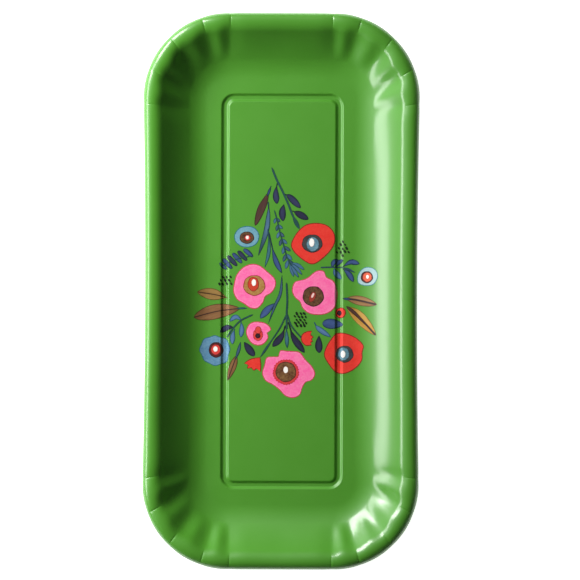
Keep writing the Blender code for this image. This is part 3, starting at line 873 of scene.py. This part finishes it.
eyeLook = {
    "waves": ((5, 0.015), (9, 0.01)), "steps": 44,
    "fringe": 26, "fringeStep": 3, "fringedSteps": 130, "fringedCoats": 2,
}


def buildFlower(name, look):
    petals = Film()
    outline = closedCurve(look["outline"], 6)
    if "bumps" in look:
        count, height = look["bumps"]
        middle = sum(outline, Vector((0, 0))) / len(outline)
        for point in outline:
            arm = point - middle
            point += arm * height * math.cos(count * math.atan2(arm.y, arm.x))
    petals.addBlob(outline, finishes[look["petal"]])
    petals.build(name)
    eye = Film()
    for coat, (finish, centre, size, *turned) in enumerate(look["eye"], 1):
        waves = [(*wave, turn * coat) for turn, wave in enumerate(eyeLook["waves"], 1)]
        fringed = look.get("fringe", 0) if coat <= eyeLook["fringedCoats"] else 0
        if fringed:
            waves.append((eyeLook["fringe"] + eyeLook["fringeStep"] * coat, fringed / coat, 0))
        steps = eyeLook["fringedSteps" if fringed else "steps"]
        eye.addBlob(oval(centre, size, steps, *turned, waves=waves), finishes[finish], coat)
    eye.build(name + "Eye")


for name, look in flowers.items():
    buildFlower(name, look)
print("flowers painted")

# Leaves and sprigs: finish, path, width, then stem share, stem width, fullest and layer
foliage = {
    "brownLeafTop": ("brown_paint", (
        ("barkLeaf", ((-8.2, 63.6), (-10.6, 57.8), (-13.4, 51.6), (-16.8, 42)), 4.9, 0, 0.6, 0.6, 0,
         0.55),
        ("indigoLeaf", ((-6.6, 67.6), (-7.8, 64.4), (-9.2, 60.6)), 1.7, 0, 0.6, 0.6, 1),
    )),
    "brownLeafLeft": ("brown_paint", (
        ("brownLeaf", ((-24, -11), (-31, -11.6), (-42.4, -13.3), (-55.9, -16.9)), 9.6, 0.1, 0.9,
         0.64, 0, 0.6),
        ("tealLeaf", ((-21.8, -11), (-25, -11), (-29, -11.2)), 1.3, 0, 0.6, 0.5, 1),
    )),
    "tanLeafLeft": ("ochre_paint", (
        ("tanLeaf", ((-34.2, -4.4), (-42, -2.4), (-53.8, -0.6)), 7.4, 0.06, 0.6, 0.6, 0, 0.7),
    )),
    "thinBrownLeaf": ("brown_paint", (
        ("brownLeaf", ((-28.2, -40.6), (-30.4, -47), (-34.2, -57.4)), 4.7, 0, 0.6, 0.56),
        ("duskLeaf", ((-25.9, -32.6), (-27.2, -38), (-29.2, -44)), 2.2, 0, 0.6, 0.5, 1),
    )),
    "oliveLeafRight": ("ochre_paint", (
        ("strawLeaf", ((39.6, -4.6), (48, -5.4), (61.4, -8.4)), 6.2, 0.08, 0.8, 0.6, 0, 0.7),
        ("indigoLeaf", ((39.4, -4.6), (42, -4.8), (45.4, -5.2)), 1.6, 0, 0.6, 0.5, 1),
    )),
    "ochreLeafRight": ("ochre_paint", (
        ("ochreLeaf", ((42.2, -9.8), (50.4, -16.8), (60.9, -28.2)), 7.4, 0, 0.8, 0.52, 0, 0.7),
        ("barkLeaf", ((41.9, -9.5), (48.4, -15), (57.4, -24.6)), 2.3, 0, 1.2, 0.34, 1),
    )),
    "navyLeafRight": ("navy_paint", (
        ("indigoLeaf", ((26.5, -20.6), (33, -20.8), (39.8, -21.4)), 6.6, 0, 0.6, 0.42, 0, 0.6),
    )),
    "navyLeafLowRight": ("navy_paint", (
        ("plumLeaf", ((24.4, -28.4), (24.2, -34), (24.6, -39.5)), 4.8, 0, 0.6, 0.6, 0, 0.6),
    )),
    "navyLeafLowLeft": ("navy_paint", (
        ("plumLeaf", ((-23.6, -32.6), (-20.6, -37), (-17, -41.6)), 4.9, 0, 0.6, 0.6, 0, 0.55),
    )),
    "blueLeafRight": ("blue_paint", (
        ("brightLeaf", ((21.2, -19.8), (24, -23.8), (31.9, -29.3)), 3.5, 0.24, 0.8, 0.55, 0, 0.7),
    )),
    "topSprig": ("navy_paint", (
        ("darkStem", ((-6.3, 79.4), (-3.2, 71.8), (0.9, 63.6), (4.5, 55.5), (7.2, 48.6),
        (11.6, 39.8)),
         2.6, 0.8, 1.3, 0.55, 5),
        ("navyLeaf", ((-2.6, 70), (-3.6, 63), (-2.9, 56)), 4.1, 0.16, 0.7, 0.62, 1, 0.65),
        ("navyLeaf", ((1.8, 62.4), (5.4, 60.4), (12.3, 53.4)), 4.4, 0.16, 0.7, 0.62, 2, 0.65),
        ("navyLeaf", ((1.6, 55.8), (0.6, 51), (1, 45)), 4.5, 0, 0.6, 0.6, 3, 0.65),
        ("plumLeaf", ((6.9, 51.6), (10.8, 49.8), (17.3, 46.2)), 4.5, 0.12, 0.7, 0.62, 4, 0.65),
    )),
    "leftStemSprig": ("blue_paint", (
        ("shadedLeaf", ((-8.4, 57.4), (-8.3, 50), (-9.8, 38), (-14.7, 22.8)), 3.4, 0.16, 0.9, 0.55,
         1, 0.7),
        ("tealLeaf", ((-8.6, 40), (-7.9, 32), (-8.2, 24), (-10.5, 15.2)), 2.4, 0.2, 0.8, 0.55, 2),
        ("indigoLeaf", ((-8, 38), (-5.6, 27), (-3.3, 19), (0.4, 11.6)), 3.5, 0.26, 0.8, 0.6, 3),
    )),
    "rightBlueSprig": ("blue_paint", (
        ("inkStem", ((25.3, 15.3), (31, 15.5), (39.4, 15.4)), 0.9, 1, 0.9, 0.5, 6),
        ("indigoLeaf", ((32.4, 15.6), (33.6, 18.4), (36.4, 20.8)), 3.3, 0, 0.5, 0.55, 1, 0.65),
        ("indigoLeaf", ((35, 15.8), (37, 18.6), (39.8, 20.2)), 2.9, 0, 0.5, 0.55, 2, 0.65),
        ("indigoLeaf", ((39.2, 15.6), (44.6, 18.8), (50.2, 17.8)), 3.5, 0.06, 0.6, 0.6, 3, 0.65),
        ("inkStem", ((38.6, 15.2), (43, 14.2), (47.5, 12)), 1.5, 0, 0.5, 0.5, 4),
        ("indigoLeaf", ((39.4, 14.4), (43, 11.6), (46.4, 6.2)), 3.7, 0.06, 0.6, 0.62, 5, 0.65),
        ("brightLeaf", ((33.8, 14.8), (35.2, 11.6), (38.6, 8)), 3.9, 0, 0.5, 0.6, 7, 0.65),
    )),
    "leftBlueSprig": ("blue_paint", (
        ("darkStem", ((-18.1, -15), (-25.6, -18.7), (-30.5, -23.5), (-34.6, -29.6)), 1, 1, 1, 0.5,
         6),
        ("brightLeaf", ((-25.4, -18.6), (-29.2, -16.6), (-33, -19.4)), 3.1, 0, 0.5, 0.55, 1, 0.65),
        ("brightLeaf", ((-25.8, -19), (-25.2, -24), (-25.8, -29.6)), 3.3, 0.08, 0.6, 0.6, 2, 0.65),
        ("navyLeaf", ((-30.2, -23.3), (-34.6, -23.4), (-39.2, -26.4)), 3.7, 0, 0.5, 0.6, 3, 0.65),
        ("brightLeaf", ((-29.7, -24), (-31, -28.6), (-31.2, -34)), 3.3, 0.08, 0.6, 0.6, 4, 0.65),
    )),
    "centreSprig": ("navy_paint", (
        ("darkStem", ((3.4, 5.6), (3.9, -6), (3.5, -15), (3.6, -24)), 1.2, 1, 1.2, 0.5, 7),
        ("darkStem", ((3.6, -14.6), (-1, -24), (-7, -33), (-13.3, -42.4)), 1.5, 0.55, 0.9, 0.6, 6),
        ("darkStem", ((3.6, -14), (6.8, -22.4), (13, -29.8)), 1, 1, 1, 0.5, 5),
        ("plumLeaf", ((2.9, -21.8), (0.2, -29), (-5.4, -35.5)), 4.4, 0.16, 1, 0.64, 1, 0.65),
        ("tealLeaf", ((3.4, -22), (3.6, -29), (4, -36.6)), 2.7, 0.1, 0.8, 0.6, 2),
        ("plumLeaf", ((4.6, -19.6), (8, -29.4), (15, -39.3)), 4.5, 0.24, 1, 0.62, 3, 0.65),
    )),
    "curvedSprig": ("blue_paint", (
        ("duskLeaf", ((0.5, 10.2), (-0.4, -1), (-4.2, -10), (-8.2, -20.8)), 2.1, 0, 0.6, 0.45, 2),
        ("indigoLeaf", ((-3.4, -7.4), (-8.4, -11.6), (-13.4, -17.4)), 4.6, 0, 0.5, 0.62, 1, 0.65),
    )),
    "fernSprig": ("navy_paint", (
        ("darkStem", ((-18.6, 22.6), (-28, 20.6), (-38.2, 16.4)), 0.6, 1, 0.6, 0.5, 7),
        ("indigoLeaf", ((-24.2, 26.9), (-21.6, 25), (-18.2, 22)), 3.1, 0, 0.4, 0.5, 1, 0.36),
        ("navyLeaf", ((-27.8, 25.8), (-25.4, 23.2), (-22, 19.6)), 3.1, 0, 0.4, 0.5, 2, 0.36),
        ("indigoLeaf", ((-31.2, 24.4), (-28.6, 21.6), (-25.2, 18)), 3.1, 0, 0.4, 0.5, 3, 0.36),
        ("navyLeaf", ((-34.4, 22.8), (-31.8, 19.8), (-28.4, 16.2)), 3.1, 0, 0.4, 0.5, 4, 0.36),
        ("indigoLeaf", ((-37.4, 20.8), (-35, 18), (-31.6, 14.4)), 3, 0, 0.4, 0.5, 5, 0.36),
        ("duskLeaf", ((-39.6, 18.2), (-37.4, 16), (-34.8, 13.9)), 2.4, 0, 0.4, 0.5, 6, 0.4),
    )),
}


def buildFoliage(name, slot, strokes):
    leaves = Film()
    for finish, path, width, *rest in strokes:
        values = dict(zip(("stemShare", "stemWidth", "fullest", "layer", "power"), rest))
        leaves.addStroke(path, finishes[finish], width, **values)
    leaves.build(name)


for name, values in foliage.items():
    buildFoliage(name, *values)


# Tufts of narrow leaflets that hang along a thin stem.
def buildFeather():
    look = {
        "stem": ((-4.6, 52), (-2.6, 45), (-1, 38), (1.6, 29), (3.6, 22), (6.6, 16.6)),
        "tufts": ((-3.6, 47), (-2.4, 42.6), (-1.2, 38), (0.2, 33.6), (1.8, 28.8), (3.2, 24),
                  (4.4, 20)),
        "reach": 4.2, "reachFrom": 0.9, "reachGrow": 0.08, "width": 1.9, "widthGrow": 0.1,
        "hang": -76, "sway": 6, "swayRate": 2.1, "spread": (-30, 34),
        "power": 0.65, "lastWidth": 2.2,
        "last": (((5.4, 18), (6.4, 14), (8, 9.4)), ((5.8, 17.6), (8, 13.6), (11.2, 8.8)),
                 ((6, 17.8), (9.4, 15.2), (13.4, 10.6)), ((6.2, 18.4), (10.4, 17), (14.8, 13.8))),
    }
    film = Film()
    film.addStroke(look["stem"], finishes["darkStem"], 0.8, 1, 0.8, layer=8)
    for number, place in enumerate(look["tufts"]):
        for leaflet, lean in enumerate(look["spread"]):
            sway = look["sway"] * math.sin(number * look["swayRate"])
            angle = math.radians(look["hang"] + lean + sway)
            reach = look["reach"] * (look["reachFrom"] + look["reachGrow"] * number)
            tip = Vector(place) + Vector((math.cos(angle), math.sin(angle))) * reach
            finish = finishes[("steelLeaf", "duskLeaf")[(leaflet + number) % 2]]
            film.addStroke((place, tuple(tip)), finish, look["width"] + look["widthGrow"] * number,
                           layer=1 + leaflet, stemWidth=0.5, power=look["power"])
    for leaflet, path in enumerate(look["last"]):
        film.addStroke(path, finishes["steelLeaf"], look["lastWidth"], layer=3 + leaflet,
                       stemWidth=0.6, fullest=0.6, power=look["power"])
    film.build("featherSprig")


buildFeather()

buds = {
    "redBudRight": (
        (12.7, -30.2), (13.8, -27.2), (16.6, -25.6), (19.8, -25.2), (19.8, -25.2), (19.2, -27.6),
        (20.8, -29.2), (19.8, -30.6), (20.4, -32.2), (19.2, -33), (19.8, -34.6), (19.8, -34.6),
        (16.2, -35), (13.6, -33)),
    "redBudLeft": (
        (-13.3, -42.4), (-13.3, -42.4), (-17.4, -42.8), (-20.8, -44), (-23.7, -46.3),
        (-23.7, -46.3), (-21.4, -47.4), (-21.6, -49.6), (-19.2, -49.4), (-17.4, -51),
        (-15.4, -50), (-12.9, -51.8), (-12.9, -51.8), (-12.6, -47)),
}
for name, outline in buds.items():
    bud = Film()
    bud.addBlob(closedCurve(outline, 4), finishes["redPetal"])
    bud.build(name)


# Three loose patches of slanting seeds.
def buildSeeds():
    look = {
        "patches": ((-36, 6.8, 9, 8.4, 2.5), (39.4, 27.6, 9, 9.4, 2.6),
                    (12.5, -18.2, 8.6, 9.8, 2.3)),
        "size": (1.3, 2.15), "grow": (0.8, 1.15), "lean": 32, "leanSpread": 14,
        "rowStep": 0.86, "scatter": 0.3, "steps": 12, "coat": 2,
    }
    scatter, leanSpread = look["scatter"], look["leanSpread"]
    film = Film()
    for x, y, width, height, pitch in look["patches"]:
        rows = int(height / pitch)
        for row in range(-rows, rows + 1):
            for column in range(-rows, rows + 1):
                at = Vector((
                    (column + 0.5 * (row % 2)) * pitch + random.uniform(-scatter, scatter),
                    row * pitch * look["rowStep"] + random.uniform(-scatter, scatter)
                ))
                if (at.x / width) ** 2 + (at.y / height) ** 2 > 0.25:  # outside its oval
                    continue
                grow = random.uniform(*look["grow"])
                film.addBlob(
                    oval((x + at.x, y + at.y), [side * grow for side in look["size"]],
                         look["steps"], look["lean"] + random.uniform(-leanSpread, leanSpread)),
                    finishes["seedBlack"], look["coat"]
                )
    film.build("seeds", False)


buildSeeds()
print("leaves, buds and seeds painted")


# Stage, light and camera.

studio = {
    "camera": (5.7, 0.8, 2500), "viewWidth": 370.3, "viewHeight": 15, "roll": 0.18,
    "sensor": 36, "clipEnd": 20,
    "aim": (0, 0, 10),
    "lamps": {
        "sideStrip": {"place": (-380, 40, 205), "size": (470, 125), "power": 1.75},
        "softKey": {"place": (-830, 850, 795), "size": (650, 650), "power": 25},
    },
    "world": 0.033, "floorGlow": 1, "floorGrey": 0.9, "floorReach": 6,
}


def buildStage():
    bm = bmesh.new()
    bmesh.ops.create_grid(bm, x_segments=4, y_segments=4, size=studio["floorReach"])
    mesh = bpy.data.meshes.new("paleFloor")
    bm.to_mesh(mesh)
    bm.free()
    floor = bpy.data.objects.new("paleFloor", mesh)
    bpy.context.scene.collection.objects.link(floor)
    grey = studio["floorGrey"]
    made, _, shader = newMaterial("paleFloor")
    shader.inputs["Base Color"].default_value = (grey, grey, grey, 1)
    shader.inputs["Roughness"].default_value = 0.9
    shader.inputs["Emission Color"].default_value = (1, 1, 1, 1)
    shader.inputs["Emission Strength"].default_value = studio["floorGlow"]
    mesh.materials.append(made)


def buildLight():
    world = bpy.data.worlds.new("softRoom")
    world.use_nodes = True
    room = world.node_tree.nodes["Background"]
    room.inputs["Color"].default_value = (1, 1, 1, 1)
    room.inputs["Strength"].default_value = studio["world"]
    bpy.context.scene.world = world
    for name, look in studio["lamps"].items():
        lamp = bpy.data.lights.new(name, "AREA")
        lamp.shape = "RECTANGLE"
        lamp.size = look["size"][0] * mm
        lamp.size_y = look["size"][1] * mm
        lamp.energy = look["power"]
        made = bpy.data.objects.new(name, lamp)
        made.location = Vector(look["place"]) * mm
        aim = Vector(studio["aim"]) - Vector(look["place"])
        made.rotation_euler = aim.to_track_quat("-Z", "Y").to_euler()
        bpy.context.scene.collection.objects.link(made)


def buildCamera():
    data = bpy.data.cameras.new("camera")
    data.sensor_width = studio["sensor"]
    x, y, z = studio["camera"]
    data.lens = studio["sensor"] * (z - studio["viewHeight"]) / studio["viewWidth"]
    data.clip_end = studio["clipEnd"]
    made = bpy.data.objects.new("camera", data)
    made.location = Vector((x, y, z)) * mm
    made.rotation_euler.z = math.radians(studio["roll"])
    bpy.context.scene.collection.objects.link(made)
    bpy.context.scene.camera = made


buildStage()
buildLight()
buildCamera()
bpy.context.scene.view_settings.view_transform = "Standard"

print("finished")
